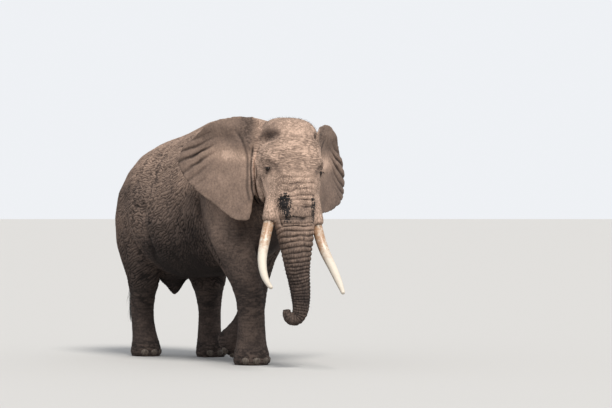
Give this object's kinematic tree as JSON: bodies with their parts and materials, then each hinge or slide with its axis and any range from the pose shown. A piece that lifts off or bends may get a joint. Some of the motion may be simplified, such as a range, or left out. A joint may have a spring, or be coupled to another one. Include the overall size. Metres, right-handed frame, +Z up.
{
  "type": "elephant",
  "caption": "Life-size still model of an African bush elephant bull walking, head turned, ears spread, tusks curving out and the trunk's tip curled up.",
  "frame": {"origin": "on the floor, at the centre of the whole model's bounding box", "axes": "+Z up, +X towards the animal's left, -Y the way the body faces"},
  "size_m": [2.5068, 5.3178, 3.3178],
  "materials": {
    "skin": "thick wrinkled grey-brown hide, dusty and matte",
    "dark_skin": "darker hide of the trunk and lower legs, ringed with creases, matte",
    "ivory": "worn ivory with brown stains and fine lengthwise cracks, satin",
    "toenail": "pale horny nail, scuffed and dusty",
    "eye": "dark brown eye, wet and glossy",
    "hair": "coarse black wiry hair"
  },
  "bodies": {
    "root": {"head": "skin", "trunk_upper": "skin", "trunk_middle": "dark_skin", "trunk_lower": "dark_skin", "trunk_tip": "dark_skin", "lower_jaw": "skin", "eye_right": "eye", "eye_left": "eye", "ear_right": "skin", "ear_left": "skin", "tusk_right": "ivory", "tusk_left": "ivory", "neck": "skin", "torso": "skin", "foreleg_right_upper": "skin", "foreleg_right_lower": "dark_skin", "foreleg_right_foot": "dark_skin", "foreleg_left_upper": "skin", "foreleg_left_lower": "dark_skin", "foreleg_left_foot": "dark_skin", "hindleg_right_upper": "skin", "hindleg_right_lower": "dark_skin", "hindleg_right_foot": "dark_skin", "hindleg_left_upper": "skin", "hindleg_left_lower": "dark_skin", "hindleg_left_foot": "dark_skin", "nail_foreleg_right_1": "toenail", "nail_foreleg_right_2": "toenail", "nail_foreleg_right_3": "toenail", "nail_foreleg_right_4": "toenail", "nail_foreleg_left_1": "toenail", "nail_foreleg_left_2": "toenail", "nail_foreleg_left_3": "toenail", "nail_foreleg_left_4": "toenail", "nail_hindleg_right_1": "toenail", "nail_hindleg_right_2": "toenail", "nail_hindleg_right_3": "toenail", "nail_hindleg_left_1": "toenail", "nail_hindleg_left_2": "toenail", "nail_hindleg_left_3": "toenail", "tail_upper": "skin", "tail_lower": "dark_skin", "tail_tuft": "hair"}
  },
  "joints": []
}
